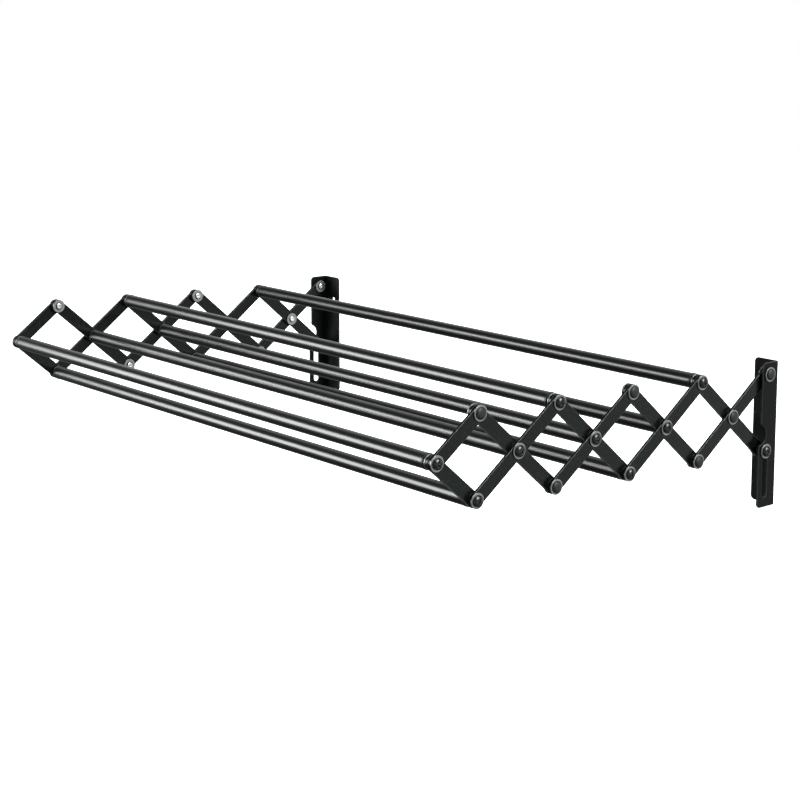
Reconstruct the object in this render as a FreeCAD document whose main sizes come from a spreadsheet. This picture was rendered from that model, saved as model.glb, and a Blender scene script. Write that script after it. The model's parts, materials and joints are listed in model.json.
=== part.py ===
"""Accordion drying rack: two wall brackets, a scissor lattice on each side and eight cross rods.

Frame: +Z up, X along the rods, the wall is the plane y = 0 and the rack reaches towards -Y.
The origin is the centre of the rectangle of the four wall screws, on the wall. Millimetres.
"""

import FreeCAD, Part
import math
import operator
import os
from types import SimpleNamespace

import Sketcher

DRIVING = [
    ("overall_width", 800, "outside of one bracket web to the outside of the other"),
    ("half_bar", 66.5, "middle hole of a lattice bar to its end hole"),
    ("bar_width", 15, "width of a lattice bar"),
    ("bar_thick", 3, "thickness of a lattice bar"),
    ("outer_slope", 36.7, "degrees that an outer-layer bar runs down, away from the wall"),
    ("inner_slope", 41.3, "degrees that an inner-layer bar runs up, away from the wall"),
    ("fold_travel", 41.8, "degrees that an outer-layer bar turns to the folded rack"),
    ("fold_ratio", 0.96, "turn of an inner-layer bar for each degree of an outer-layer bar"),
    ("screw_rise", 108, "upper to lower wall screw of one bracket"),
    ("screw_inset", 20, "outside of the web to the wall screws"),
    ("wall_screw_bore", 5.5, "bore of a wall-screw hole"),
    ("pivot_rise", 18, "upper wall screw up to the wall pivot"),
    ("pivot_from_wall", 15, "wall to the centre of the wall pivot"),
    ("bracket_crown", 13, "wall pivot up to the top of the bracket"),
    ("bracket_foot", 11, "metal left under the slot"),
    ("sheet_thick", 2, "bracket sheet"),
    ("bend_radius", 1, "inside radius of the bracket bend"),
    ("corner_radius", 5, "free corners of the bracket"),
    ("web_depth", 26, "wall to the front edge of the web above the relief notch"),
    ("foot_depth", 29.5, "wall to the front edge of the web below the relief notch"),
    ("flange_width", 32, "outside of the web to the free edge of the flange"),
    ("relief_room", 3, "relief notch round the washer that folds into it"),
    ("lip_radius", 3, "rounding where the relief notch meets the front edges"),
    ("slot_width", 8, "width of the slot"),
    ("slot_bow", 0.2, "half of the sideways wander of the pin in the slot"),
    ("slot_room", 1, "slot beyond the pin at each end"),
    ("web_gap", 2.4, "bracket web to the first outer-layer bar"),
    ("play", 0.1, "running play between neighbouring layers"),
    ("pin_dia", 5.9, "shank of the rivets and screws"),
    ("bore_dia", 6.2, "holes on those shanks"),
    ("washer_dia", 16, "washer"),
    ("washer_thick", 1.2, "washer"),
    ("spacer_dia", 14, "spacer behind the bracket web"),
    ("rod_dia", 16, "cross rod tube, outside"),
    ("rod_wall", 1, "cross rod tube, wall"),
    ("plug_neck_dia", 12, "end plug, neck against the washer"),
    ("plug_neck", 1.2, "end plug, length of the neck"),
    ("plug_rim_dia", 16.6, "end plug, rim over the end of the tube"),
    ("plug_rim", 3, "end plug, length of the rim"),
    ("plug_spigot", 14, "end plug, length inside the tube"),
    ("screw_bite", 14, "screw shank beyond the inner washer"),
    ("head_dia", 12, "pan head of a screw"),
    ("head_rise", 3.4, "pan head of a screw"),
    ("head_round", 2.2, "rounding of a pan head"),
    ("recess_span", 6.4, "cross recess, tip to tip"),
    ("recess_width", 1.3, "cross recess, width of an arm"),
    ("recess_depth", 1.8, "cross recess, depth"),
    ("dome_dia", 12.6, "outer head of a rivet"),
    ("dome_rise", 2.4, "outer head of a rivet"),
    ("dome_round", 2, "rounding of the outer head of a rivet"),
    ("tail_dia", 9, "peened tail of a rivet"),
    ("tail_rise", 1.6, "peened tail of a rivet"),
    ("bush_dia", 11, "bush between the bracket web and the first inner-layer bar"),
    ("nut_across", 10, "slot screw nut, across flats"),
    ("nut_thick", 4, "slot screw nut"),
]

# A pivot is reached from the wall pivot by whole half-bars: (along outer-layer bars, along inner-layer bars).
PIVOTS = {
    "wall": (0, 0),
    "slot": (1, -1),
    "cross_1": (1, 0),
    "low_1": (2, 0),
    "top_1": (1, 1),
    "cross_2": (2, 1),
    "low_2": (3, 1),
    "top_2": (2, 2),
    "cross_3": (3, 2),
    "low_3": (4, 2),
    "top_3": (3, 3),
    "cross_4": (4, 3),
    "low_4": (5, 3),
    "top_4": (4, 4),
    "tip": (5, 4),
}
# The bars, or the brackets, that the pin of each pivot is fast to.
CARRIERS = {
    "brackets": ("wall",),
    "inner_bars_1": ("slot",),
    "outer_bars_1": ("cross_1", "low_1"),
    "outer_bars_2": ("top_1", "cross_2"),
    "outer_bars_3": ("top_2", "cross_3", "low_3"),
    "inner_bars_3": ("low_2",),
    "outer_bars_4": ("top_3", "cross_4"),
    "outer_bars_5": ("top_4",),
    "inner_bars_5": ("low_4", "tip"),
}
RIVETED = ("wall", "cross_1", "low_1", "top_2", "low_3", "top_4")
RODS = ("top_1", "cross_2", "low_2", "top_3", "cross_3", "cross_4", "low_4", "tip")
BARS_PER_LAYER = 5
SIDES = {"right": 1, "left": -1}

OPERATORS = {"+": operator.add, "-": operator.sub, "*": operator.mul, "/": operator.truediv}


class Size:
    """A size with its number now and the expression that binds it to the sheet."""

    def __init__(self, value, text):
        self.value = float(value)
        self.text = text

    def joined(self, sign, other):
        """This size and another size or plain number, joined by an operator."""
        if not isinstance(other, Size):
            other = Size(other, str(other))
        value = OPERATORS[sign](self.value, other.value)
        return Size(value, f"({self.text} {sign} {other.text})")

    def __add__(self, other):
        return self.joined("+", other)

    def __sub__(self, other):
        return self.joined("-", other)

    def __mul__(self, other):
        return self.joined("*", other)

    def __truediv__(self, other):
        return self.joined("/", other)

    def __neg__(self):
        return Size(-self.value, f"-{self.text}")


def cosine(angle):
    """Cosine of a size that counts degrees."""
    return Size(math.cos(math.radians(angle.value)), f"cos({angle.text} * 1 deg)")


def sine(angle):
    """Sine of a size that counts degrees."""
    return Size(math.sin(math.radians(angle.value)), f"sin({angle.text} * 1 deg)")


def mirrored(across, side):
    """A distance along X on the right side, or its mirror image on the left."""
    return across if side > 0 else -across


# ---- document and sheet of driving dimensions

doc = FreeCAD.newDocument("accordion_drying_rack")
sheet = doc.addObject("Spreadsheet::Sheet", "dims")
for row, (alias, number, note) in enumerate(DRIVING, start=1):
    sheet.set(f"A{row}", alias)
    sheet.set(f"B{row}", str(number))
    sheet.set(f"C{row}", note)
    sheet.setAlias(f"B{row}", alias)
doc.recompute()
size = SimpleNamespace(**{alias: Size(number, f"dims.{alias}") for alias, number, note in DRIVING})
nodes = []


# ---- where the layers and the pivots are

def layers():
    """Distances from the middle of the rack to the faces of each layer, from the outside in."""
    layer = SimpleNamespace()
    layer.web_out = size.overall_width / 2
    layer.web_in = layer.web_out - size.sheet_thick
    layer.outer_bar_out = layer.web_in - size.web_gap
    layer.outer_bar_in = layer.outer_bar_out - size.bar_thick
    layer.inner_bar_out = layer.outer_bar_in - size.washer_thick - size.play * 2
    layer.inner_bar_in = layer.inner_bar_out - size.bar_thick
    layer.plug_out = layer.inner_bar_in - size.play - size.washer_thick
    layer.rim_out = layer.plug_out - size.plug_neck
    layer.rod_end = layer.rim_out - size.plug_rim
    layer.spigot_end = layer.rod_end - size.plug_spigot
    return layer


def pivot_place(pivot):
    """Y and Z of a pivot with the rack pulled out."""
    outer_steps, inner_steps = PIVOTS[pivot]
    reach = cosine(size.outer_slope) * outer_steps + cosine(size.inner_slope) * inner_steps
    drop = sine(size.outer_slope) * outer_steps - sine(size.inner_slope) * inner_steps
    y = -(size.pivot_from_wall + size.half_bar * reach)
    z = pivot_height - size.half_bar * drop
    return y, z


def face_outside(pivot):
    """X of the outermost sheet or bar that the pin of a pivot passes through."""
    return layer.web_out if pivot in ("wall", "slot") else layer.outer_bar_out


def face_inside(pivot):
    """X of the innermost bar that the pin of a pivot passes through."""
    return layer.outer_bar_in if pivot == "wall" else layer.inner_bar_in


layer = layers()
pivot_height = size.screw_rise / 2 + size.pivot_rise


# ---- helpers

def bind(item, name, amount):
    """Set a number on an object and keep it bound to the sheet."""
    item.setExpression(name, amount.text)


def set_place(item, place, turn=None):
    """Put an object at a point, turned about X by an angle, with both bound to the sheet."""
    angle = turn.value if turn else 0
    spot = FreeCAD.Vector(*[coordinate.value if coordinate else 0 for coordinate in place])
    item.Placement = FreeCAD.Placement(spot, FreeCAD.Rotation(FreeCAD.Vector(1, 0, 0), angle))
    for axis, coordinate in zip("xyz", place):
        if coordinate:
            bind(item, f"Placement.Base.{axis}", coordinate)
    if turn:
        item.setExpression("Placement.Rotation.Angle", f"{turn.text} * 1 deg")


def new_sketch(body, name, plane):
    """A sketch on one of the origin planes of a body."""
    sketch = body.newObject("Sketcher::SketchObject", name)
    planes = {item.Role: item for item in body.Origin.OriginFeatures}
    sketch.AttachmentSupport = (planes[plane], [""])
    sketch.MapMode = "FlatFace"
    return sketch


def hold(sketch, kind, element, amount):
    """Add a dimension to a sketch and bind it to the sheet; kind is Radius, DistanceX or DistanceY."""
    index = sketch.addConstraint(Sketcher.Constraint(kind, *element, amount.value))
    name = f"{kind}_{index}"
    sketch.renameConstraint(index, name)
    bind(sketch, f"Constraints.{name}", amount)


def hold_point(sketch, geometry, point, spot):
    """Hold a point of a sketch at a spot; a coordinate of None lies on the axis."""
    across, up = spot
    if across is None:
        sketch.addConstraint(Sketcher.Constraint("PointOnObject", geometry, point, -2))
    else:
        hold(sketch, "DistanceX", (-1, 1, geometry, point), across)
    if up is None:
        sketch.addConstraint(Sketcher.Constraint("PointOnObject", geometry, point, -1))
    else:
        hold(sketch, "DistanceY", (-1, 1, geometry, point), up)


def vector(spot):
    """A sketch spot as a vector of its numbers now."""
    across, up = spot
    return FreeCAD.Vector(across.value if across else 0, up.value if up else 0, 0)


def draw_polygon(sketch, spots):
    """A closed polygon through the spots."""
    first = sketch.GeometryCount
    count = len(spots)
    for index in range(count):
        start, end = vector(spots[index]), vector(spots[(index + 1) % count])
        sketch.addGeometry(Part.LineSegment(start, end), False)
    for index in range(count):
        follower = first + (index + 1) % count
        sketch.addConstraint(Sketcher.Constraint("Coincident", first + index, 2, follower, 1))
    for index, spot in enumerate(spots):
        hold_point(sketch, first + index, 1, spot)


def draw_circle(sketch, spot, radius):
    """A circle at a spot."""
    circle = sketch.addGeometry(Part.Circle(vector(spot), FreeCAD.Vector(0, 0, 1), radius.value), False)
    hold_point(sketch, circle, 3, spot)
    hold(sketch, "Radius", (circle,), radius)


def draw_stadium(sketch, near, far, radius):
    """Two half circles about the spots near and far, joined by two straight sides."""
    start, end = vector(near), vector(far)
    heading = math.atan2(end.y - start.y, end.x - start.x)
    half_turn = math.pi / 2
    normal = FreeCAD.Vector(-math.sin(heading), math.cos(heading), 0) * radius.value
    upright = FreeCAD.Vector(0, 0, 1)
    near_circle = Part.Circle(start, upright, radius.value)
    far_circle = Part.Circle(end, upright, radius.value)
    near_arc = sketch.addGeometry(
        Part.ArcOfCircle(near_circle, heading + half_turn, heading + 3 * half_turn), False)
    low_side = sketch.addGeometry(Part.LineSegment(start - normal, end - normal), False)
    far_arc = sketch.addGeometry(
        Part.ArcOfCircle(far_circle, heading - half_turn, heading + half_turn), False)
    high_side = sketch.addGeometry(Part.LineSegment(end + normal, start + normal), False)
    sketch.addConstraint([
        Sketcher.Constraint("Tangent", near_arc, 2, low_side, 1),
        Sketcher.Constraint("Tangent", low_side, 2, far_arc, 1),
        Sketcher.Constraint("Tangent", far_arc, 2, high_side, 1),
        Sketcher.Constraint("Tangent", high_side, 2, near_arc, 1),
        Sketcher.Constraint("Equal", near_arc, far_arc),
    ])
    hold_point(sketch, near_arc, 3, near)
    hold_point(sketch, far_arc, 3, far)
    hold(sketch, "Radius", (near_arc,), radius)


def new_body(label):
    """A body with the label of its node or of its piece in a group."""
    body = doc.addObject("PartDesign::Body", label)
    body.Label = label
    return body


def pad(body, sketch, name, length, backwards):
    """Pad a sketch along its normal, or backwards."""
    feature = body.newObject("PartDesign::Pad", name)
    feature.Profile = sketch
    bind(feature, "Length", length)
    feature.Reversed = backwards
    return feature


def fillet(body, base, name, picked, radius):
    """Round the picked edges of a feature."""
    feature = body.newObject("PartDesign::Fillet", name)
    names = [f"Edge{index + 1}" for index, edge in enumerate(base.Shape.Edges) if picked(edge)]
    if not names:
        raise RuntimeError(f"{body.Label}: no edge to round for {name}")
    feature.Base = (base, names)
    bind(feature, "Radius", radius)
    return feature


def straight_at(direction, **spot):
    """A test for straight edges along a direction whose middle has the given coordinates."""
    def picked(edge):
        if not isinstance(edge.Curve, Part.Line):
            return False
        middle = edge.BoundBox.Center
        near = [abs(getattr(middle, axis) - value) < 0.01 for axis, value in spot.items()]
        return abs(abs(edge.Curve.Direction.dot(direction)) - 1) < 1e-6 and all(near)
    return picked


def turned(label, pivot, side, outline):
    """A body turned about the axis of a pivot; the outline is (distance along X, radius) spots."""
    body = new_body(label)
    sketch = new_sketch(body, "outline", "XY_Plane")
    draw_polygon(sketch, [(mirrored(along, side), radius) for along, radius in outline])
    turning = body.newObject("PartDesign::Revolution", "turning")
    turning.Profile = sketch
    turning.ReferenceAxis = (sketch, ["H_Axis"])
    turning.Angle = 360
    y, z = pivot_place(pivot)
    set_place(body, (None, y, z))
    return body, turning


def lay_along_x(item, start, pivot):
    """Lay a primitive along +X on the axis of a pivot, with its foot at a distance along X."""
    place = (start, *pivot_place(pivot))
    spot = FreeCAD.Vector(*[coordinate.value for coordinate in place])
    item.Placement = FreeCAD.Placement(spot, FreeCAD.Rotation(FreeCAD.Vector(0, 1, 0), 90))
    for axis, coordinate in zip("xyz", place):
        bind(item, f"Placement.Base.{axis}", coordinate)


def ring(label, pivot, side, inner_face, length, diameter, bore):
    """A washer or tube about the axis of a pivot, from its inner face outwards."""
    start = inner_face if side > 0 else -(inner_face + length)
    pieces = []
    for part_label, width in ((f"{label}_disc", diameter), (f"{label}_bore", bore)):
        cylinder = doc.addObject("Part::Cylinder", part_label)
        bind(cylinder, "Radius", width / 2)
        bind(cylinder, "Height", length)
        lay_along_x(cylinder, start, pivot)
        pieces.append(cylinder)
    cut = doc.addObject("Part::Cut", label)
    cut.Label = label
    cut.Base, cut.Tool = pieces
    return cut


def add_node(item):
    """Count a finished object as a sub-part of its own."""
    nodes.append(item)


def add_group(label, pieces):
    """Count a set of like pieces as one sub-part of separate solids."""
    group = doc.addObject("Part::Compound", label)
    group.Label = label
    group.Links = pieces
    add_node(group)


# ---- brackets

def folded_place(outer_steps, inner_steps):
    """Distance out from the wall and height of a pivot with the rack folded."""
    outer = size.outer_slope + size.fold_travel
    inner = size.inner_slope + size.fold_travel * size.fold_ratio
    reach = cosine(outer) * outer_steps + cosine(inner) * inner_steps
    drop = sine(outer) * outer_steps - sine(inner) * inner_steps
    return size.pivot_from_wall + size.half_bar * reach, pivot_height - size.half_bar * drop


def slot_ends():
    """Centres of the two round ends of the slot, as distances out from the wall and heights."""
    rest_y, rest_z = pivot_place("slot")
    folded_out, folded_z = folded_place(*PIVOTS["slot"])
    out = -rest_y + size.slot_bow
    spare = (size.slot_width - size.pin_dia) / 2 - size.slot_room
    return (out, rest_z - spare), (out, folded_z + spare)


def relief_notch(radius, edge_depth, centre_out):
    """Half height of the relief notch where it meets a front edge of the web."""
    offset = edge_depth - centre_out
    square = radius * radius - offset * offset
    return Size(math.sqrt(square.value), f"sqrt({square.text})")


def draw_web(sketch, top, bottom):
    """Outline of the web with its relief notch, pivot hole and slot; Y runs out as negative."""
    centre_out, centre_z = folded_place(*PIVOTS["cross_1"])
    radius = size.washer_dia / 2 + size.relief_room
    upper = centre_z + relief_notch(radius, size.web_depth, centre_out)
    lower = centre_z - relief_notch(radius, size.foot_depth, centre_out)
    spots = [(None, bottom), (None, top), (-size.web_depth, top), (-size.web_depth, upper)]
    spots += [(-size.foot_depth, lower), (-size.foot_depth, bottom)]
    lines = [(0, 1), (1, 2), (2, 3), (4, 5), (5, 0)]
    for start, end in lines:
        sketch.addGeometry(Part.LineSegment(vector(spots[start]), vector(spots[end])), False)
    centre = (-centre_out, centre_z)
    notch_circle = Part.Circle(vector(centre), FreeCAD.Vector(0, 0, 1), radius.value)
    lower_angle, upper_angle = [math.atan2(*reversed((vector(spot) - vector(centre))[:2]))
                                for spot in (spots[4], spots[3])]
    notch = sketch.addGeometry(Part.ArcOfCircle(notch_circle, lower_angle, upper_angle), False)
    sketch.addConstraint([
        Sketcher.Constraint("Coincident", 0, 2, 1, 1),
        Sketcher.Constraint("Coincident", 1, 2, 2, 1),
        Sketcher.Constraint("Coincident", 2, 2, notch, 2),
        Sketcher.Constraint("Coincident", notch, 1, 3, 1),
        Sketcher.Constraint("Coincident", 3, 2, 4, 1),
        Sketcher.Constraint("Coincident", 4, 2, 0, 1),
        Sketcher.Constraint("Vertical", 2),
        Sketcher.Constraint("Vertical", 3),
    ])
    for line, spot in ((0, spots[0]), (1, spots[1]), (2, spots[2])):
        hold_point(sketch, line, 1, spot)
    hold_point(sketch, 4, 1, spots[5])
    hold_point(sketch, notch, 3, centre)
    hold(sketch, "Radius", (notch,), radius)
    pivot_y, pivot_z = pivot_place("wall")
    draw_circle(sketch, (pivot_y, pivot_z), size.bore_dia / 2)
    (slot_out, slot_top), (slot_out, slot_bottom) = slot_ends()
    draw_stadium(sketch, (-slot_out, slot_top), (-slot_out, slot_bottom), size.slot_width / 2)
    return upper, lower


def bracket(label, side):
    """L-shaped wall bracket: web outermost, flange on the wall towards the middle of the rack."""
    top = pivot_height + size.bracket_crown
    slot_low_centre = slot_ends()[1][1]
    bottom = slot_low_centre - size.slot_width / 2 - size.bracket_foot
    body = new_body(label)
    web_sketch = new_sketch(body, "web_outline", "YZ_Plane")
    upper, lower = draw_web(web_sketch, top, bottom)
    web = pad(body, web_sketch, "web", size.sheet_thick, side < 0)
    flange_sketch = new_sketch(body, "flange_outline", "XZ_Plane")
    web_side = mirrored(size.sheet_thick, side)
    free_side = mirrored(size.sheet_thick - size.flange_width, side)
    draw_polygon(flange_sketch, [(free_side, bottom), (web_side, bottom), (web_side, top), (free_side, top)])
    screw_across = mirrored(size.sheet_thick - size.screw_inset, side)
    for height in (size.screw_rise / 2, -(size.screw_rise / 2)):
        draw_circle(flange_sketch, (screw_across, height), size.wall_screw_bore / 2)
    flange = pad(body, flange_sketch, "flange", size.sheet_thick, False)
    set_place(body, (mirrored(layer.web_in, side), None, None))
    doc.recompute()
    upright = FreeCAD.Vector(0, 0, 1)
    outside = straight_at(upright, x=web_side.value, y=0)
    rounded = fillet(body, flange, "bend_outside", outside, size.bend_radius + size.sheet_thick)
    doc.recompute()
    inside = straight_at(upright, x=0, y=-size.sheet_thick.value)
    rounded = fillet(body, rounded, "bend_inside", inside, size.bend_radius)
    doc.recompute()
    across, outward = FreeCAD.Vector(1, 0, 0), FreeCAD.Vector(0, 1, 0)
    corners = [straight_at(across, y=-size.web_depth.value, z=top.value)]
    corners += [straight_at(across, y=-size.foot_depth.value, z=bottom.value)]
    corners += [straight_at(outward, x=free_side.value, z=height.value) for height in (top, bottom)]
    rounded = fillet(body, rounded, "free_corners", lambda edge: any(test(edge) for test in corners),
                     size.corner_radius)
    doc.recompute()
    lips = [straight_at(across, y=-size.web_depth.value, z=upper.value)]
    lips += [straight_at(across, y=-size.foot_depth.value, z=lower.value)]
    fillet(body, rounded, "notch_lips", lambda edge: any(test(edge) for test in lips), size.lip_radius)
    add_node(body)


# ---- lattice bars

def bar(label, number, side, outer_layer):
    """A flat bar with round ends; the fifth of each layer has only the half that starts the bar."""
    full = number < BARS_PER_LAYER
    length = size.half_bar * 2 if full else size.half_bar
    body = new_body(label)
    sketch = new_sketch(body, "outline", "YZ_Plane")
    draw_stadium(sketch, (None, None), (-length, None), size.bar_width / 2)
    draw_circle(sketch, (None, None), size.bore_dia / 2)
    draw_circle(sketch, (-size.half_bar, None), size.bore_dia / 2)
    if full:
        draw_circle(sketch, (-length, None), size.bore_dia / 2)
    pad(body, sketch, "plate", size.bar_thick, side < 0)
    start_steps = (number - 1, number - 1) if outer_layer else (number, number - 2)
    start = next(name for name, steps in PIVOTS.items() if steps == start_steps)
    y, z = pivot_place(start)
    inner_face = layer.outer_bar_in if outer_layer else layer.inner_bar_in
    turn = size.outer_slope if outer_layer else -size.inner_slope
    set_place(body, (mirrored(inner_face, side), y, z), turn)
    add_node(body)


# ---- pins: rivets, rod screws and slot screws

def round_head_edge(radius, face):
    """A test for the outer rim of a head."""
    def picked(edge):
        if not isinstance(edge.Curve, Part.Circle):
            return False
        on_face = abs(edge.Curve.Center.x - face.value) < 0.01
        return on_face and abs(edge.Curve.Radius - radius.value) < 0.01
    return picked


def rivet(pivot, side):
    """A rivet with a low round head outside and a peened tail inside."""
    seat = face_outside(pivot) + size.play + size.washer_thick
    crown = seat + size.dome_rise
    tail_seat = face_inside(pivot) - size.play - size.washer_thick
    tail = tail_seat - size.tail_rise
    shank = size.pin_dia / 2
    outline = [(tail, None), (crown, None), (crown, size.dome_dia / 2), (seat, size.dome_dia / 2)]
    outline += [(seat, shank), (tail_seat, shank), (tail_seat, size.tail_dia / 2), (tail, size.tail_dia / 2)]
    body, turning = turned(f"rivet_{pivot}_{side_names[side]}", pivot, side, outline)
    doc.recompute()
    rim = round_head_edge(size.dome_dia / 2, mirrored(crown, side))
    fillet(body, turning, "dome", rim, size.dome_round)
    return body


def screw(name, pivot, side, shank_end):
    """A pan-head screw with a cross recess, from its head outside in to the end of its shank."""
    seat = face_outside(pivot) + size.play + size.washer_thick
    crown = seat + size.head_rise
    shank = size.pin_dia / 2
    outline = [(shank_end, None), (crown, None), (crown, size.head_dia / 2), (seat, size.head_dia / 2)]
    outline += [(seat, shank), (shank_end, shank)]
    body, turning = turned(f"{name}_{pivot}_{side_names[side]}", pivot, side, outline)
    doc.recompute()
    rim = round_head_edge(size.head_dia / 2, mirrored(crown, side))
    head = fillet(body, turning, "pan", rim, size.head_round)
    doc.recompute()
    sketch = new_sketch(body, "recess_outline", "YZ_Plane")
    sketch.AttachmentOffset = FreeCAD.Placement(FreeCAD.Vector(0, 0, 1), FreeCAD.Rotation())
    bind(sketch, "AttachmentOffset.Base.z", mirrored(crown, side))
    arm, tip = size.recess_width / 2, size.recess_span / 2
    quarter = [(tip, arm), (arm, arm), (arm, tip)]
    spots = list(quarter)
    spots += [(-across, up) for across, up in reversed(quarter)]
    spots += [(-across, -up) for across, up in quarter]
    spots += [(across, -up) for across, up in reversed(quarter)]
    draw_polygon(sketch, spots)
    recess = body.newObject("PartDesign::Pocket", "recess")
    recess.Profile = sketch
    bind(recess, "Length", size.recess_depth)
    recess.Reversed = side < 0
    doc.recompute()
    if recess.Shape.Volume >= head.Shape.Volume:
        raise RuntimeError(f"{body.Label}: the cross recess cuts nothing")
    return body


def washers(pivot, side):
    """The washers of one pivot: under the head, between the bars and against the rod or the tail."""
    label = f"{pivot}_{side_names[side]}"
    thick = size.washer_thick
    layout = [("head_washer", face_outside(pivot) + size.play, thick, size.washer_dia)]
    layout += [("tail_washer", face_inside(pivot) - size.play - thick, thick, size.washer_dia)]
    if pivot == "wall":
        spacer = size.web_gap - size.play * 2
        layout += [("spacer", layer.outer_bar_out + size.play, spacer, size.spacer_dia)]
    elif pivot != "slot":
        layout += [("mid_washer", layer.inner_bar_out + size.play, thick, size.washer_dia)]
    return [ring(f"{name}_{label}", pivot, side, face, length, diameter, size.bore_dia)
            for name, face, length, diameter in layout]


# ---- rods

def rod(pivot):
    """A plain tube between the rims of its two end plugs."""
    return ring(f"rod_{pivot}", pivot, 1, -layer.rod_end, layer.rod_end * 2, size.rod_dia,
                size.rod_dia - size.rod_wall * 2)


def plug(pivot, side):
    """The end plug of a rod: a neck against the washer, a rim on the tube's end, a spigot inside."""
    bore, neck = size.bore_dia / 2, size.plug_neck_dia / 2
    rim = size.plug_rim_dia / 2
    spigot = size.rod_dia / 2 - size.rod_wall - size.play / 2
    outline = [(layer.plug_out, bore), (layer.plug_out, neck), (layer.rim_out, neck), (layer.rim_out, rim)]
    outline += [(layer.rod_end, rim), (layer.rod_end, spigot), (layer.spigot_end, spigot), (layer.spigot_end, bore)]
    return turned(f"plug_{pivot}_{side_names[side]}", pivot, side, outline)[0]


# ---- slot bush and nut

def slot_bush(side):
    """The spacer that carries the inner bar at its distance behind the web."""
    length = layer.web_in - size.play - layer.inner_bar_out
    return ring(f"slot_bush_{side_names[side]}", "slot", side, layer.inner_bar_out, length, size.bush_dia,
                size.bore_dia)


def slot_nut(side):
    """The hexagon nut on the inner end of the slot screw."""
    label = f"slot_nut_{side_names[side]}"
    start = layer.plug_out - size.nut_thick if side > 0 else -layer.plug_out
    prism = doc.addObject("Part::Prism", f"{label}_hexagon")
    prism.Polygon = 6
    bind(prism, "Circumradius", size.nut_across / math.sqrt(3))
    bind(prism, "Height", size.nut_thick)
    bore = doc.addObject("Part::Cylinder", f"{label}_thread")
    bind(bore, "Radius", size.bore_dia / 2)
    bind(bore, "Height", size.nut_thick)
    for piece in (prism, bore):
        lay_along_x(piece, start, "slot")
    nut = doc.addObject("Part::Cut", label)
    nut.Label = label
    nut.Base, nut.Tool = prism, bore
    return nut


# ---- the assembly

side_names = {side: name for name, side in SIDES.items()}
for name, side in SIDES.items():
    bracket(f"bracket_{name}", side)
for number in range(1, BARS_PER_LAYER + 1):
    for name, side in SIDES.items():
        bar(f"outer_bar_{number}_{name}", number, side, True)
        bar(f"inner_bar_{number}_{name}", number, side, False)
for pivot in RODS:
    add_node(rod(pivot))
for pivot in RIVETED:
    add_group(f"rivets_{pivot}", [rivet(pivot, side) for side in side_names])
for carrier, pivots in CARRIERS.items():
    add_group(f"washers_{carrier}", [item for pivot in pivots for side in side_names
                                     for item in washers(pivot, side)])
    rod_pivots = [pivot for pivot in pivots if pivot in RODS]
    if rod_pivots:
        shank_end = layer.plug_out - size.screw_bite
        add_group(f"rod_plugs_{carrier}", [plug(pivot, side) for pivot in rod_pivots
                                           for side in side_names])
        add_group(f"rod_screws_{carrier}", [screw("rod_screw", pivot, side, shank_end)
                                            for pivot in rod_pivots for side in side_names])
slot_shank_end = layer.plug_out - size.nut_thick
add_group("slot_screws", [screw("slot_screw", "slot", side, slot_shank_end) for side in side_names])
add_group("slot_bushes", [slot_bush(side) for side in side_names])
add_group("slot_nuts", [slot_nut(side) for side in side_names])

doc.recompute()
for item in doc.Objects:
    if "Invalid" in item.State or "Error" in item.State:
        raise RuntimeError(f"{item.Label} failed: {item.State}")
for item in nodes:
    if item.Shape.isNull() or not item.Shape.isValid():
        raise RuntimeError(f"{item.Label} has no valid shape")

os.makedirs("parts", exist_ok=True)
for item in nodes:
    item.Shape.exportStep(f"parts/{item.Label}.step")
print(len(nodes), "sub-parts written")
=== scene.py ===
import json
import math
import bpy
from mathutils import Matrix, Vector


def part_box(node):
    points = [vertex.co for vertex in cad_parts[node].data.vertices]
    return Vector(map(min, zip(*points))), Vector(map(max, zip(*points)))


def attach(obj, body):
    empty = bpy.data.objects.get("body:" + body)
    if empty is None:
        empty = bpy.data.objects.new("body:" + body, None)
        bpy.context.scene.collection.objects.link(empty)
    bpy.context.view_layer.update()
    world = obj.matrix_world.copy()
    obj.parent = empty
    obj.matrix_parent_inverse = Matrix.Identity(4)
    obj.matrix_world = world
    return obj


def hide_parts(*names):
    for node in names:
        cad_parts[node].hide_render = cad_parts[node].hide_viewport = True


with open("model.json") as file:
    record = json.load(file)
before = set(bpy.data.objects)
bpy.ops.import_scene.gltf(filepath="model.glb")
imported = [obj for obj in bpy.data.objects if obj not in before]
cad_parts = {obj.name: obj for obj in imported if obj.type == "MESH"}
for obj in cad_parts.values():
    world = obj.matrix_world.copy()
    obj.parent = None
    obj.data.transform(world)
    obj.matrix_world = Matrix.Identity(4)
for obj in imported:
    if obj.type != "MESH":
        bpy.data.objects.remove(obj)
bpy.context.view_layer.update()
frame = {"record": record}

from types import SimpleNamespace

import bpy
import numpy as np
from mathutils import Vector, geometry

body_with = {node: body for body, nodes in frame["record"]["behaviour"]["bodies"].items() for node in nodes}
mm = 0.001


# ---- Camera
# A long lens to the right of the rack and a little above it, so that the rods run back to the left.

camera_lens = 84.28
camera_spot = (1.6576, -1.5716, 0.4740)
camera_heading, camera_dip = 50.324, 9.308
camera_drop = -0.125

camera_data = bpy.data.cameras.new("camera")
camera_data.lens, camera_data.sensor_width = camera_lens, 36
camera_data.shift_y = camera_drop
camera_data.clip_start, camera_data.clip_end = 0.05, 60
camera = bpy.data.objects.new("camera", camera_data)
camera.location = camera_spot
camera.rotation_euler = (math.radians(90 - camera_dip), 0, math.radians(camera_heading))
bpy.context.scene.collection.objects.link(camera)
bpy.context.scene.camera = camera
bpy.context.scene.view_settings.view_transform = "Standard"


# ---- Studio floor
# A seamless sheet of white paper well below the rack, so bright that it carries no shadow.

floor_depth = 0.75
floor_reach = 9.0


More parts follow.
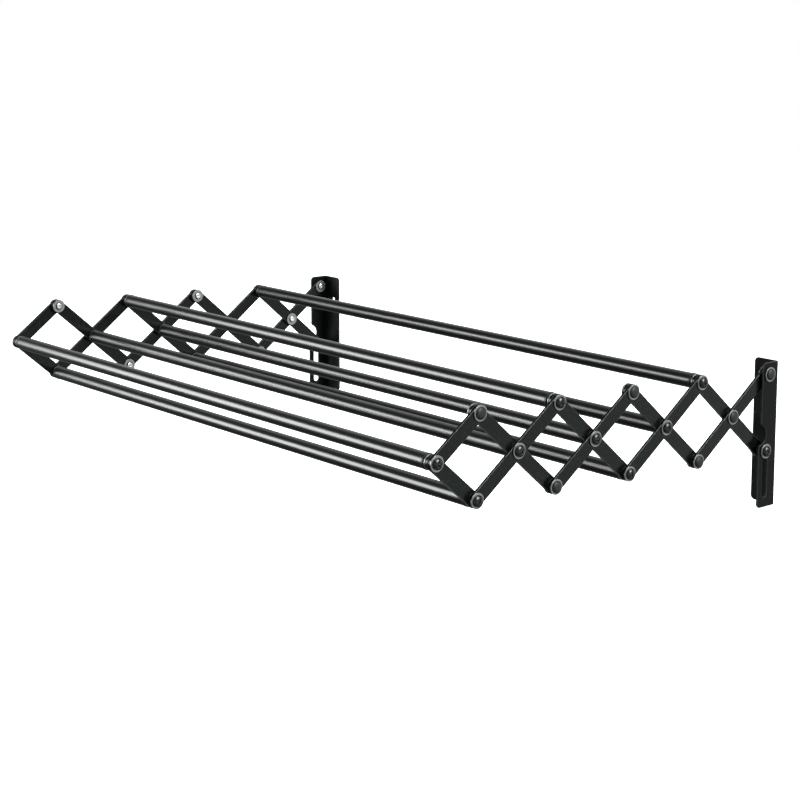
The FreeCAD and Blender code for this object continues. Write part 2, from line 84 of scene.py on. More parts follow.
class Tone:
    """A number on its way through a finish. A sum, difference or product of tones adds its Math node."""

    def __init__(self, finish, socket):
        self.finish = finish
        self.socket = socket

    def worked(self, how, first, second):
        return self.finish.node("ShaderNodeMath", {"operation": how}, first, second)

    def __add__(self, other):
        return self.worked("ADD", self, other)

    def __sub__(self, other):
        return self.worked("SUBTRACT", self, other)

    def __rsub__(self, other):
        return self.worked("SUBTRACT", other, self)

    def __mul__(self, other):
        return self.worked("MULTIPLY", self, other)

    __radd__ = __add__
    __rmul__ = __mul__


class Finish:
    """A finish being mixed: its nodes, and the one call that adds another."""

    def __init__(self, tree):
        self.tree = tree

    @classmethod
    def coat(cls, name, **even):
        """A finish for a piece. The keywords are what is the same all over it, on the shader's own sockets."""
        material = bpy.data.materials.new(name)
        material.use_nodes = True
        finish = cls(material.node_tree)
        finish.material = material
        finish.shader = material.node_tree.nodes["Principled BSDF"]
        for label, value in even.items():
            finish.shader.inputs[label.replace("_", " ")].default_value = value
        return finish

    def node(self, kind, settings=None, *values, out=0, **named):
        """Adds a node: first its settings, then the values or links of its sockets, in order or by their names."""
        added = self.tree.nodes.new(kind)
        for setting, value in (settings or {}).items():
            if setting == "stops":
                ramp = added.color_ramp
                while len(ramp.elements) < len(value):
                    ramp.elements.new(1)
                for element, (place, colour) in zip(ramp.elements, value):
                    element.position, element.color = place, (*colour, 1)
            else:
                setattr(added, setting, value)
        sockets = {socket.identifier: socket for socket in added.inputs}
        pairs = list(zip(added.inputs, values)) + [(sockets[label], value) for label, value in named.items()]
        for socket, value in pairs:
            self.plug(value, socket)
        outputs = {socket.identifier: socket for socket in added.outputs}
        return Tone(self, outputs[out] if isinstance(out, str) else added.outputs[out])

    def plug(self, value, socket):
        if isinstance(value, Tone):
            self.tree.links.new(value.socket, socket)
        else:
            socket.default_value = value

    def onto(self, label, value):
        """Feeds what changes over the surface to a socket of the shader."""
        self.plug(value, self.shader.inputs[label])

    def blended(self, share, first, second):
        """The first colour where share is 0 and the second where it is 1."""
        first, second = [c if isinstance(c, Tone) else (*c, 1) for c in (first, second)]
        return self.node("ShaderNodeMix", {"data_type": "RGBA"}, out="Result_Color",
                         Factor_Float=share, A_Color=first, B_Color=second)

    def noise(self, place, scale, detail=2.0, rough=0.5):
        """Cloudy noise between about 0.25 and 0.75, with so many humps to a metre."""
        return self.node("ShaderNodeTexNoise", None, Vector=place, Scale=scale, Detail=detail, Roughness=rough)

    def stretched(self, place, stretch, turn=(0, 0, 0)):
        return self.node("ShaderNodeMapping", None, Vector=place, Scale=stretch, Rotation=turn)

    def bumped(self, height, depth, over=None):
        """Surface relief from a height between 0 and 1 that stands for so many metres."""
        named = {"Normal": over} if over else {}
        return self.node("ShaderNodeBump", None, Strength=1.0, Distance=depth, Height=height, **named)


paper = Finish.coat("studio_paper", Roughness=0.9, Specular_IOR_Level=0.1, Emission_Strength=1.1)
paper_place = paper.node("ShaderNodeTexCoord", out="Object")
paper_tooth = paper.noise(paper_place, 60, 3)
paper.onto("Base Color", paper.blended(paper_tooth, (0.86, 0.86, 0.86), (0.90, 0.90, 0.90)))
paper.shader.inputs["Emission Color"].default_value = (1, 1, 1, 1)

floor_mesh = bpy.data.meshes.new("studio_floor")
floor_corners = [(x * floor_reach, y * floor_reach, -floor_depth) for x, y in ((-1, -1), (1, -1), (1, 1), (-1, 1))]
floor_mesh.from_pydata(floor_corners, [], [(0, 1, 2, 3)])
floor_mesh.materials.append(paper.material)
studio_floor = bpy.data.objects.new("studio_floor", floor_mesh)
studio_floor.visible_glossy = studio_floor.visible_diffuse = False
bpy.context.scene.collection.objects.link(studio_floor)


# ---- Studio light
# A dim room with soft white boards all round the rack, a small bright lamp over its right shoulder, and one
# large soft panel to the front left that draws the band of light along every rod.

room_dim = 0.032
room_tint = (0.965, 1.0, 0.985)
# Each board: the way it lies, how bright it is, and where its soft edge starts and ends on a scale
# from 0, straight behind, to 1, straight at its middle.
soft_boards = {
    "far": ((-0.70, 0.64, 0.32), 0.9, 0.88, 0.98),
    "side": ((0.75, 0.63, -0.20), 0.92, 0.90, 0.985),
    "lamp": ((0.86, 0.28, 0.42), 17.0, 0.976, 0.990),
    "low": ((-0.77, 0.50, -0.40), 0.20, 0.90, 0.98),
    "over": ((0.10, 0.05, 0.99), 1.9, 0.854, 0.953),
    "right": ((1.00, -0.30, 0.00), 0.4, 0.870, 0.960),
    "left": ((-1.00, -0.10, 0.00), 0.45, 0.935, 0.975),
    "back": ((0.00, 0.98, -0.10), 0.8, 0.910, 0.965),
    "front": ((0.30, -0.95, 0.00), 0.4, 0.854, 0.953),
    "under": ((0.00, 0.00, -1.00), 0.4, 0.854, 0.953),
}
panel_spot = (-0.99, -1.45, 0.247)
panel_aim = (-0.40, -0.18, 0.037)
panel_size = (1.21, 0.80)
panel_power = 42.0
panel_tint = (0.975, 1.0, 0.99)

room = bpy.data.worlds.new("studio_room")
room.use_nodes = True
bpy.context.scene.world = room
room_light = Finish(room.node_tree)
room_way = room_light.node("ShaderNodeTexCoord", out="Generated")
lobes = 0
for way, glow, start, full in soft_boards.values():
    way = Vector(way).normalized()
    facing = room_light.node("ShaderNodeVectorMath", {"operation": "DOT_PRODUCT"}, room_way, way, out="Value")
    lobes = lobes + room_light.node("ShaderNodeValToRGB", {"stops": [(start, (0, 0, 0)), (full, (1, 1, 1))]},
                                    facing * 0.5 + 0.5) * glow
room_ramp = room_dim + lobes
room_seen = room_light.node("ShaderNodeLightPath", out="Is Camera Ray")
room_glow = room_light.node("ShaderNodeVectorMath", {"operation": "MULTIPLY"}, room_ramp, room_tint)
room_shown = room_light.blended(room_seen, room_glow, (1, 1, 1))
room_light.plug(room_shown, room.node_tree.nodes["Background"].inputs["Color"])

panel_data = bpy.data.lights.new("soft_panel", "AREA")
panel_data.shape, panel_data.size, panel_data.size_y = "RECTANGLE", *panel_size
panel_data.energy, panel_data.color = panel_power, panel_tint
soft_panel = bpy.data.objects.new("soft_panel", panel_data)
soft_panel.location = panel_spot
soft_panel.rotation_euler = (Vector(panel_aim) - Vector(panel_spot)).to_track_quat("-Z", "Y").to_euler()
soft_panel.visible_camera = False
bpy.context.scene.collection.objects.link(soft_panel)


# ---- Wall brackets
# One each side, pressed from 2 mm steel sheet: a web that carries the lattice, folded at the wall into
# a flange with two screw holes. The edges are deburred and the whole is powder coated satin black.

sheet_half = 1.0 * mm
sheet_edge = 0.55 * mm
bend_inside, bend_middle = 1.0 * mm, 2.0 * mm
web_depth, foot_depth = 26.0 * mm, 29.5 * mm
free_corner, notch_lip = 5.0 * mm, 3.0 * mm
pivot_drop, pivot_out, pivot_bore = 13.0 * mm, 15.0 * mm, 6.2 * mm
notch_out, notch_drop, notch_radius = 28.258 * mm, 65.165 * mm, 11.0 * mm
slot_out, slot_drop, slot_width, slot_foot = 18.559 * mm, 83.68 * mm, 8.0 * mm, 11.0 * mm
wall_screw_in, wall_screw_height, wall_screw_bore = 20.0 * mm, 54.0 * mm, 5.5 * mm


def drawn_loop(arcs, steps=10):
    """A closed outline of arcs joined by straight runs, with its normals pointing off the metal.
    Each arc is (centre across, centre up, radius, first angle, last angle): the point at angle a is the
    centre plus radius (cos a, sin a), and the normal is (cos a, sin a), or its opposite on a clockwise arc."""
    points, normals = [], []
    for across, up, radius, first, last in arcs:
        count = max(3, math.ceil(steps * abs(last - first) / 90) + 1)
        angle = np.radians(np.linspace(first, last, count))
        ray = np.stack([np.cos(angle), np.sin(angle)], 1)
        points.append(np.array([across, up]) + radius * ray)
        normals.append(ray if last > first else -ray)
    points, normals = np.concatenate(points), np.concatenate(normals)
    apart = np.linalg.norm(points - np.roll(points, 1, 0), axis=1) > 1e-8
    return points[apart], normals[apart]


def with_stops(loop, stops):
    """The outline with extra points where its straight runs cross the fold lines at these distances across."""
    points, normals = loop
    after = np.roll(points, -1, 0)
    added_points, added_normals, spots = [], [], []
    for stop in stops:
        low, high = np.minimum(points[:, 0], after[:, 0]), np.maximum(points[:, 0], after[:, 0])
        for start in np.flatnonzero((low < stop - 1e-9) & (high > stop + 1e-9)):
            share = (stop - points[start, 0]) / (after[start, 0] - points[start, 0])
            added_points.append(points[start] + share * (after[start] - points[start]))
            added_normals.append(normals[start])
            spots.append(start + share)
    order = np.argsort(np.concatenate([np.arange(len(points)), spots]), kind="stable")
    return (np.concatenate([points, added_points])[order], np.concatenate([normals, added_normals])[order])


def inside_loops(spots, loops):
    """True for each spot with metal round it: a line from it crosses the outlines an odd number of times."""
    starts = np.concatenate([points for points, _ in loops])
    ends = np.concatenate([np.roll(points, -1, 0) for points, _ in loops])
    x, y = spots[:, :1], spots[:, 1:]
    spans = (starts[:, 1] > y) != (ends[:, 1] > y)
    rise = np.where(ends[:, 1] == starts[:, 1], 1, ends[:, 1] - starts[:, 1])
    crossing = starts[:, 0] + (y - starts[:, 1]) * (ends[:, 0] - starts[:, 0]) / rise
    return (spans & (x < crossing)).sum(1) % 2 == 1


def cut_plate(loops, half, edge, fold_lines=()):
    """A flat plate cut to its outlines, the outer one anticlockwise and the holes clockwise, softened at its edges.
    The edge is a profile carried along each outline: at angle b from 0 to 180 degrees it stands edge (1 - sin b)
    inside the outline and at height edge cos b beyond plus or minus (half - edge); the two faces are filled flat."""
    angle = np.radians(np.concatenate([np.linspace(0, 90, 5), np.linspace(90, 180, 5)]))
    inset = edge * (1 - np.sin(angle))
    level = edge * np.cos(angle) + (half - edge) * np.repeat([1, -1], 5)
    rings, flat, normals, worn = len(angle), [], [], []
    faces, first_of, face_index, start = [], [], [], 0
    for points, out in loops:
        count = len(points)
        ring = points[None] - inset[:, None, None] * out[None]
        through = np.broadcast_to(level[:, None, None], (rings, count, 1))
        flat.append(np.concatenate([ring, through], 2).reshape(-1, 3))
        slant = np.sin(angle)[:, None, None] * out[None]
        upright = np.broadcast_to(np.cos(angle)[:, None, None], (rings, count, 1))
        normals.append(np.concatenate([slant, upright], 2).reshape(-1, 3))
        # The edge band is 1 at the middle of each rounded edge; the powder coats paint a pale highlight line there.
        worn.append(np.repeat(np.abs(np.sin(2 * angle)), count))
        grid = start + np.arange(rings * count).reshape(rings, count)
        onward = np.roll(grid, -1, 1)
        faces.append(np.stack([grid[:-1], grid[1:], onward[1:], onward[:-1]], 2).reshape(-1, 4))
        face_index.append(grid[0])
        first_of.append(start)
        start += rings * count
    flat, normals, worn = np.concatenate(flat), np.concatenate(normals), np.concatenate(worn)
    rim = np.concatenate(face_index)
    last_ring = [start + (rings - 1) * len(points) + np.arange(len(points))
                 for start, (points, _) in zip(first_of, loops)]
    back_of = dict(zip(rim.tolist(), np.concatenate(last_ring).tolist()))
    borders, at = [], 0
    for points, _ in loops:
        ring = at + np.arange(len(points))
        borders += np.stack([ring, np.roll(ring, -1)], 1).tolist()
        at += len(points)
    for line in fold_lines:
        on_line = np.flatnonzero(np.abs(flat[rim, 0] - line) < 1e-7)
        if len(on_line) == 2:
            borders.append(on_line.tolist())
    spots = [Vector(spot) for spot in flat[rim, :2].tolist()]
    made, _, pieces, origins, _, _ = geometry.delaunay_2d_cdt(spots, borders, [], 0, 1e-9)
    assert len(made) == len(spots), "the outline crosses itself"
    origin = np.array([came[0] for came in origins])
    triangles = origin[np.array(pieces)]
    rims = [(flat[start:start + len(points), :2], None) for start, (points, _) in zip(first_of, loops)]
    triangles = triangles[inside_loops(flat[rim[triangles], :2].mean(1), rims)]
    corners = flat[rim[triangles], :2]
    turn = np.cross(corners[:, 1] - corners[:, 0], corners[:, 2] - corners[:, 0])
    triangles[turn < 0] = triangles[turn < 0][:, ::-1]
    front = rim[triangles]
    back = np.array([back_of[place] for place in rim.tolist()])[triangles][:, ::-1]
    return SimpleNamespace(flat=flat, normals=normals, worn=worn, faces=[np.concatenate(faces), front, back])


def build_piece(name, shells, finishes, exact=True):
    """One mesh object from closed shells. A shell has points, normals, faces and what else is worked out along it.
    A shell whose volume comes out below nothing is inside out, and its faces are turned round."""
    points, normals, faces, paint, at = [], [], [], [], 0
    traits = {}
    for shell in shells:
        groups = [group for group in shell.faces if len(group)]
        fans = np.concatenate([np.stack([group[:, 0], group[:, k], group[:, k + 1]], 1)
                               for group in groups for k in range(1, group.shape[1] - 1)])
        a, b, c = (shell.points[fans[:, k]] - shell.points.mean(0) for k in range(3))
        inside_out = np.einsum("ij,ij->i", a, np.cross(b, c)).sum() < 0
        looks = getattr(shell, "paint", None) or [0] * len(shell.faces)
        for group, look in zip(shell.faces, looks):
            if len(group):
                faces += (at + (group[:, ::-1] if inside_out else group)).tolist()
                paint += [look] * len(group)
        points.append(shell.points)
        normals.append(shell.normals)
        for trait in ("worn", "reach"):
            traits.setdefault(trait, []).append(getattr(shell, trait, np.zeros(len(shell.points))))
        at += len(shell.points)
    mesh = bpy.data.meshes.new(name)
    mesh.from_pydata(np.concatenate(points).tolist(), [], faces)
    for trait, values in traits.items():
        values = np.concatenate(values).astype(np.float32)
        mesh.attributes.new(trait, "FLOAT", "POINT").data.foreach_set("value", values)
    for finish in finishes:
        mesh.materials.append(finish.material)
    mesh.polygons.foreach_set("material_index", np.array(paint, np.int32))
    mesh.shade_smooth()
    if exact:
        mesh.normals_split_custom_set_from_vertices(np.concatenate(normals).tolist())
    else:
        mesh.set_sharp_from_angle(angle=math.radians(32))
    mesh.update()
    made = bpy.data.objects.new(name, mesh)
    bpy.context.scene.collection.objects.link(made)
    return made


def powder_coat(name, dark, light, speck_and_edge_highlight, sheen, gloss, rough, tooth):
    """Satin black powder coat: a fine pebble, faint clouds of tone, pale specks, and a pale line painted along the
    middle of each rounded edge that is partly rubbed paint and partly a painted highlight.
    """
    coat = Finish.coat(name, Specular_IOR_Level=gloss, Specular_Tint=(*sheen, 1), IOR=1.5)
    place = coat.node("ShaderNodeTexCoord", out="Object")
    worn = coat.node("ShaderNodeAttribute", {"attribute_name": "worn"}, out="Fac")
    pebble = coat.noise(place, 1500, 3, 0.55)
    cloud = coat.noise(place, 28, 3, 0.6)
    patch = coat.noise(place, 260, 4, 0.65)
    speck = coat.node("ShaderNodeValToRGB", {"stops": [(0.66, (0, 0, 0)), (0.74, (1, 1, 1))]},
                      coat.noise(place, 2100, 1, 0.4))
    body = coat.blended(cloud, dark, light)
    body = coat.blended(speck * 0.35, body, speck_and_edge_highlight)
    # Painted highlight: the middle of each rounded edge is blended to the pale colour in broken patches, partly
    # rubbed paint.
    body = coat.blended(worn * (0.35 + 0.9 * patch), body, speck_and_edge_highlight)
    coat.onto("Base Color", body)
    coat.onto("Roughness", rough + tooth * pebble + tooth * cloud - 0.06 * worn)
    coat.onto("Metallic", 0.3 * worn)
    coat.onto("Normal", coat.bumped(pebble, 0.000025, coat.bumped(cloud, 0.00008)))
    return coat


# Its fourth colour is that of the pale specks and of the highlight painted along the edges.
bracket_coat = powder_coat("bracket_coat", dark=(0.0018, 0.0021, 0.0020), light=(0.0034, 0.0038, 0.0037),
                           speck_and_edge_highlight=(0.085, 0.090, 0.090), sheen=(0.93, 1, 0.97), gloss=0.08, rough=0.31, tooth=0.08)


def bracket_blank(top, bottom, flange_reach):
    """Outlines of the flat blank, as (distance across from the start of the bend, height).
    The web lies below 0, the bend takes up a quarter turn of the middle of the sheet, the flange lies beyond."""
    bend = math.pi / 2 * bend_middle
    inside = sheet_half * 2 + bend_inside
    web, foot, free = inside - web_depth, inside - foot_depth, bend + flange_reach
    r, lip, notch = free_corner, notch_lip, notch_radius
    centre = inside - notch_out
    pivot_height = top - pivot_drop
    notch_height, slot_top = pivot_height - notch_drop, pivot_height - slot_drop
    reach = notch + lip
    upper_in, lower_in = web + lip - centre, foot + lip - centre
    upper_up, lower_up = math.sqrt(reach ** 2 - upper_in ** 2), math.sqrt(reach ** 2 - lower_in ** 2)
    upper_angle = math.degrees(math.atan2(upper_up, upper_in))
    lower_angle = math.degrees(math.atan2(-lower_up, lower_in))
    outline = drawn_loop([
        (foot + r, bottom + r, r, 180, 270),
        (free - r, bottom + r, r, 270, 360),
        (free - r, top - r, r, 0, 90),
        (web + r, top - r, r, 90, 180),
        (web + lip, notch_height + upper_up, lip, 180, 180 + upper_angle),
        (centre, notch_height, notch, upper_angle, lower_angle),
        (foot + lip, notch_height - lower_up, lip, 180 + lower_angle, 180),
    ])
    half = slot_width / 2
    slot_low = bottom + slot_foot + half
    holes = [
        [(inside - pivot_out, pivot_height, pivot_bore / 2, 360, 0)],
        [(inside - slot_out, slot_top, half, 180, 0), (inside - slot_out, slot_low, half, 0, -180)],
        [(bend + wall_screw_in - inside, wall_screw_height, wall_screw_bore / 2, 360, 0)],
        [(bend + wall_screw_in - inside, -wall_screw_height, wall_screw_bore / 2, 360, 0)],
    ]
    folds = np.linspace(0, bend, 9)
    loops = [with_stops(outline, folds)]
    loops += [drawn_loop(arcs) for arcs in holes]
    return loops, folds


def folded(plate, corner_x, side):
    """The blank folded up. Across u from the start of the bend and through the sheet w, the web is at
    x = corner - half + w and y = u - inside; round the bend the angle is u over the middle radius m, with
    x = corner - inside + (m + w) cos and y = -inside + (m + w) sin; the flange is at y = w - half."""
    u, z, w = plate.flat.T
    inside = sheet_half * 2 + bend_inside
    bend = math.pi / 2 * bend_middle
    angle = np.clip(u, 0, bend) / bend_middle
    cos, sin = np.cos(angle), np.sin(angle)
    x = corner_x - inside + (bend_middle + w) * cos - np.maximum(u - bend, 0)
    y = -inside + (bend_middle + w) * sin + np.minimum(u, 0)
    nu, nz, nw = plate.normals.T
    nx, ny = nw * cos - nu * sin, nw * sin + nu * cos
    return SimpleNamespace(points=np.stack([side * x, y, z], 1), normals=np.stack([side * nx, ny, nz], 1),
                           worn=plate.worn, faces=plate.faces)


for side_name, side in (("right", 1), ("left", -1)):
    node = f"bracket_{side_name}"
    low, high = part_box(node)
    corner_x = max(abs(low.x), abs(high.x))
    flange_reach = corner_x - min(abs(low.x), abs(high.x)) - sheet_half * 2 - bend_inside
    bracket_loops, bracket_folds = bracket_blank(high.z, low.z, flange_reach)
    blank = cut_plate(bracket_loops, sheet_half, sheet_edge, bracket_folds)
    bracket = build_piece(f"wall_bracket_{side_name}", [folded(blank, corner_x, side)], [bracket_coat])
    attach(bracket, body_with[node])
    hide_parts(node)


# ---- Lattice bars
# Ten flat steel bars a side, 15 mm by 3 mm with round ends, punched for the pins and tumbled so that the
# corners are soft, then powder coated. The fifth bar of each layer is a half bar.

bar_half_width, bar_half, bar_edge, bar_bore = 7.5 * mm, 1.5 * mm, 0.4 * mm, 6.2 * mm
hole_spacing = 66.5 * mm

# Its fourth colour is that of the pale specks and of the highlight painted along the edges.
bar_coat = powder_coat("bar_coat", dark=(0.0020, 0.0024, 0.0024), light=(0.0036, 0.0042, 0.0042),
                       speck_and_edge_highlight=(0.125, 0.133, 0.133), sheen=(0.90, 1, 0.99), gloss=0.19, rough=0.16, tooth=0.04)


def lattice_bar(start, end, middle_x):
    """A bar from the start hole to the end hole: a stadium outline, its holes, and both set along the bar.
    With the unit vector run from start to end, a spot (along, across, through) lies at start + along run +
    across (run turned a quarter)."""
    length = float(np.linalg.norm(end - start))
    loops = [drawn_loop([(0, 0, bar_half_width, 90, 270), (length, 0, bar_half_width, -90, 90)], 12)]
    for along in np.arange(0, length + 1 * mm, hole_spacing):
        loops.append(drawn_loop([(along, 0, bar_bore / 2, 360, 0)], 8))
    plate = cut_plate(loops, bar_half, bar_edge)
    run = (end - start) / length
    quarter = np.array([-run[1], run[0]])
    frame_yz = np.stack([run, quarter])
    yz = start + plate.flat[:, :2] @ frame_yz
    points = np.column_stack([middle_x + plate.flat[:, 2], yz])
    normals = np.column_stack([plate.normals[:, 2], plate.normals[:, :2] @ frame_yz])
    return SimpleNamespace(points=points, normals=normals, worn=plate.worn, faces=plate.faces)


pivots = {}
for layer, heading in (("outer", -1), ("inner", 1)):
    for number in range(1, 6):
        for side_name in ("right", "left"):
            node = f"{layer}_bar_{number}_{side_name}"
            low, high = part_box(node)
            start_z, end_z = (high.z, low.z) if heading < 0 else (low.z, high.z)
            start = np.array([high.y - bar_half_width, start_z + heading * bar_half_width])
            end = np.array([low.y + bar_half_width, end_z - heading * bar_half_width])
            pivots[layer, number] = start, end
            bar = build_piece(f"lattice_{node}", [lattice_bar(start, end, (low.x + high.x) / 2)], [bar_coat])
            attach(bar, body_with[node])
            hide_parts(node)

pivot = {"wall": pivots["outer", 1][0], "slot": pivots["inner", 1][0], "tip": pivots["outer", 5][1]}
for number in range(1, 5):
    outer_start, outer_end = pivots["outer", number]
    pivot[f"cross_{number}"] = (outer_start + outer_end) / 2
    pivot[f"low_{number}"] = outer_end
    pivot[f"top_{number}"] = pivots["inner", number][1]
outer_bar_out, outer_bar_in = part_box("outer_bar_1_right")[1].x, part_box("outer_bar_1_right")[0].x
inner_bar_out, inner_bar_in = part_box("inner_bar_1_right")[1].x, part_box("inner_bar_1_right")[0].x
web_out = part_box("bracket_right")[1].x
play = 0.1 * mm


# ---- Washers
# Zinc plated steel, 16 mm across: one under every head, one between the two bars and one behind them.
# They are stamped, so one rim is rolled over and the faces keep faint turning marks. The one between the
# bars is blackened, and so is the thicker, narrower spacer that the wall pivot has behind each bracket web.

washer_thick, washer_radius, spacer_radius, pin_hole = 1.2 * mm, 8.0 * mm, 7.0 * mm, 3.1 * mm
washer_crisp, washer_rolled = 0.12 * mm, 0.38 * mm


def softened(corners, closed, steps=4):
    """A profile with rounded corners, and its normals to the right of the way it runs.
    Each corner is (along, out, radius). Round a corner the normal swings evenly from that of the side before to
    that of the side after, and the point is the centre of the rounding plus or minus radius times the normal."""
    spots = np.array([corner[:2] for corner in corners], float)
    points, normals = [], []
    count = len(corners)
    for number, (along, out, radius) in enumerate(corners):
        spot = np.array([along, out])
        first, last = number == 0 and not closed, number == count - 1 and not closed
        before = spot - spots[number - 1] if not first else spots[number + 1] - spot
        after = spots[(number + 1) % count] - spot if not last else before
        before, after = before / np.linalg.norm(before), after / np.linalg.norm(after)
        turn = math.atan2(before[0] * after[1] - before[1] * after[0], before @ after)
        facing = np.array([before[1], -before[0]])
        if first or last or abs(turn) < 1e-6:
            points.append(spot[None])
            normals.append(facing[None])
            continue
        bulge = math.copysign(1, turn)
        centre = spot - before * radius * math.tan(abs(turn) / 2) - bulge * radius * facing
        swing = np.linspace(0, turn, steps + 1)[:, None]
        sweep = np.cos(swing) * facing + np.sin(swing) * np.array([-facing[1], facing[0]])
        points.append(centre + bulge * radius * sweep)
        normals.append(sweep)
    return np.concatenate(points), np.concatenate(normals)


def lathe(profile, spot, side, closed=False, around=48, paint_at=()):
    """A profile turned about a pin: out to radius r at distance h from the middle of the rack, the point at
    angle a is (side h, y + r cos a, z + r sin a). A closed profile makes a ring; an open one starts and ends
    on the pin's axis."""
    points, normals = profile
    angle = np.linspace(0, 2 * math.pi, around, endpoint=False)
    ray = np.stack([np.cos(angle), np.sin(angle)], 1)
    h, r = points.T
    ring_points = np.concatenate([np.broadcast_to((side * h)[:, None, None], (len(h), around, 1)),
                                  spot + r[:, None, None] * ray[None]], 2)
    ring_normals = np.concatenate([np.broadcast_to((side * normals[:, 0])[:, None, None], (len(h), around, 1)),
                                   normals[:, 1][:, None, None] * ray[None]], 2)
    reach, worn = np.repeat(r, around), np.repeat(np.abs(normals[:, 1]), around)
    grid = np.arange(len(h) * around).reshape(len(h), around)
    onward = np.roll(grid, -1, 1)
    below, below_on = (np.roll(grid, -1, 0), np.roll(onward, -1, 0)) if closed else (grid[1:], onward[1:])
    above, above_on = (grid, onward) if closed else (grid[:-1], onward[:-1])
    quads = np.stack([above, above_on, below_on, below], 2)
    flat_points, flat_normals = ring_points.reshape(-1, 3), ring_normals.reshape(-1, 3)
    bands = list(quads)
    if not closed:
        top, bottom = grid[0, 0], grid[-1, 0]
        bands[0] = np.stack([np.full(around, top), grid[1][(np.arange(around) + 1) % around], grid[1]], 1)
        bands[-1] = np.stack([grid[-2], np.roll(grid[-2], -1), np.full(around, bottom)], 1)
        keep = np.ones(len(flat_points), bool)
        keep[grid[0, 1:]] = keep[grid[-1, 1:]] = False
        renumber = np.cumsum(keep) - 1
        bands = [renumber[band] for band in bands]
        flat_points, flat_normals = flat_points[keep], flat_normals[keep]
        reach, worn = reach[keep], worn[keep]
    paint = [sum(number >= at for at in paint_at) for number in range(len(bands))]
    return SimpleNamespace(points=flat_points, normals=flat_normals, reach=reach, worn=worn,
                           faces=bands, paint=paint)


def ring_profile(outside, inside, outer, bore, crisp, rolled):
    """Section of a washer or bush: a rectangle from the bore to the outer rim with its four corners softened."""
    corners = [(outside, bore, crisp), (outside, outer, rolled), (inside, outer, crisp), (inside, bore, crisp)]
    return softened(corners, True)


def zinc_plate(name, pale, deep, cut, rough):
    """Bright zinc: fine rings left by the tool, a faint bloom, soft specks where the plating is thin, and the
    duller colour of the cut edge wherever the surface faces outwards."""
    zinc = Finish.coat(name, Metallic=1.0)
    place = zinc.node("ShaderNodeTexCoord", out="Object")
    reach = zinc.node("ShaderNodeAttribute", {"attribute_name": "reach"}, out="Fac")
    rings = zinc.node("ShaderNodeTexNoise", {"noise_dimensions": "1D"}, W=reach * 5200, Scale=1.0, Detail=2.0)
    bloom = zinc.noise(place, 320, 4, 0.6)
    speck = zinc.node("ShaderNodeValToRGB", {"stops": [(0.60, (0, 0, 0)), (0.72, (1, 1, 1))]},
                      zinc.noise(place, 1300, 2, 0.5))
    body = zinc.blended(bloom, pale, deep)
    body = zinc.blended(speck * 0.4, body, deep)
    rim = zinc.node("ShaderNodeValToRGB", {"stops": [(0.72, (0, 0, 0)), (0.94, (1, 1, 1))]},
                    zinc.node("ShaderNodeAttribute", {"attribute_name": "worn"}, out="Fac"))
    body = zinc.blended(rim, body, cut)
    zinc.onto("Base Color", body)
    zinc.onto("Roughness", rough + 0.08 * rings + 0.06 * bloom)
    zinc.onto("Normal", zinc.bumped(rings, 0.00001, zinc.bumped(bloom, 0.000012)))
    return zinc


washer_zinc = zinc_plate("washer_zinc", pale=(0.30, 0.305, 0.305), deep=(0.21, 0.214, 0.216),
                         cut=(0.150, 0.153, 0.153), rough=0.32)
washer_black = Finish.coat("washer_black", Specular_IOR_Level=0.20, IOR=1.5)
black_place = washer_black.node("ShaderNodeTexCoord", out="Object")
black_grain = washer_black.noise(black_place, 1600, 3, 0.6)
washer_body = washer_black.blended(black_grain, (0.0040, 0.0045, 0.0045), (0.0090, 0.0097, 0.0097))
washer_black.onto("Base Color", washer_body)
washer_black.onto("Roughness", 0.40 + 0.12 * black_grain)
washer_black.onto("Normal", washer_black.bumped(black_grain, 0.00002))
washers_with = {
    "brackets": ("wall",), "outer_bars_1": ("cross_1", "low_1"), "inner_bars_1": ("slot",),
    "outer_bars_2": ("top_1", "cross_2"), "outer_bars_3": ("top_2", "cross_3", "low_3"),
    "inner_bars_3": ("low_2",), "outer_bars_4": ("top_3", "cross_4"), "outer_bars_5": ("top_4",),
    "inner_bars_5": ("low_4", "tip"),
}
for carrier, carried in washers_with.items():
    node = f"washers_{carrier}"
    shells = []
    for name in carried:
        head_seat = (web_out if name in ("wall", "slot") else outer_bar_out) + play
        tail_seat = (outer_bar_in if name == "wall" else inner_bar_in) - play
        rings = [(head_seat + washer_thick, head_seat, washer_radius, 0),
                 (tail_seat, tail_seat - washer_thick, washer_radius, 0)]
        if name == "wall":
            rings.append((web_out - sheet_half * 2 - play, outer_bar_out + play, spacer_radius, 1))
        elif name != "slot":
            rings.append((inner_bar_out + play + washer_thick, inner_bar_out + play, washer_radius, 1))
        for outside, inside, radius, black in rings:
            profile = ring_profile(outside, inside, radius, pin_hole, washer_crisp, washer_rolled)
            shells += [lathe(profile, pivot[name], side, closed=True, paint_at=(0,) * black) for side in (1, -1)]
    washers = build_piece(f"zinc_{node}", shells, [washer_zinc, washer_black])
    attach(washers, body_with[node])
    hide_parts(node)


# ---- Rivets
# Blackened steel rivets hold the joints that carry no rod, with a low domed head outside. Inside, the tail is
# peened over its washer: the black is left on its shoulder, and the crown is bare and bright round a dimple.

dome_radius, dome_rise, dome_wall, dome_power = 6.3 * mm, 2.4 * mm, 0.35 * mm, 2.3
shank_radius = 2.95 * mm
tail_radius, tail_rise, tail_shoulder, tail_crown, tail_dimple = 4.5 * mm, 1.6 * mm, 0.8 * mm, 3.1 * mm, 1.3 * mm
# The stem's first five rounded corners stay black; from the next one, the crown's, the tail is bare.
black_corners, corner_steps = 5, 5

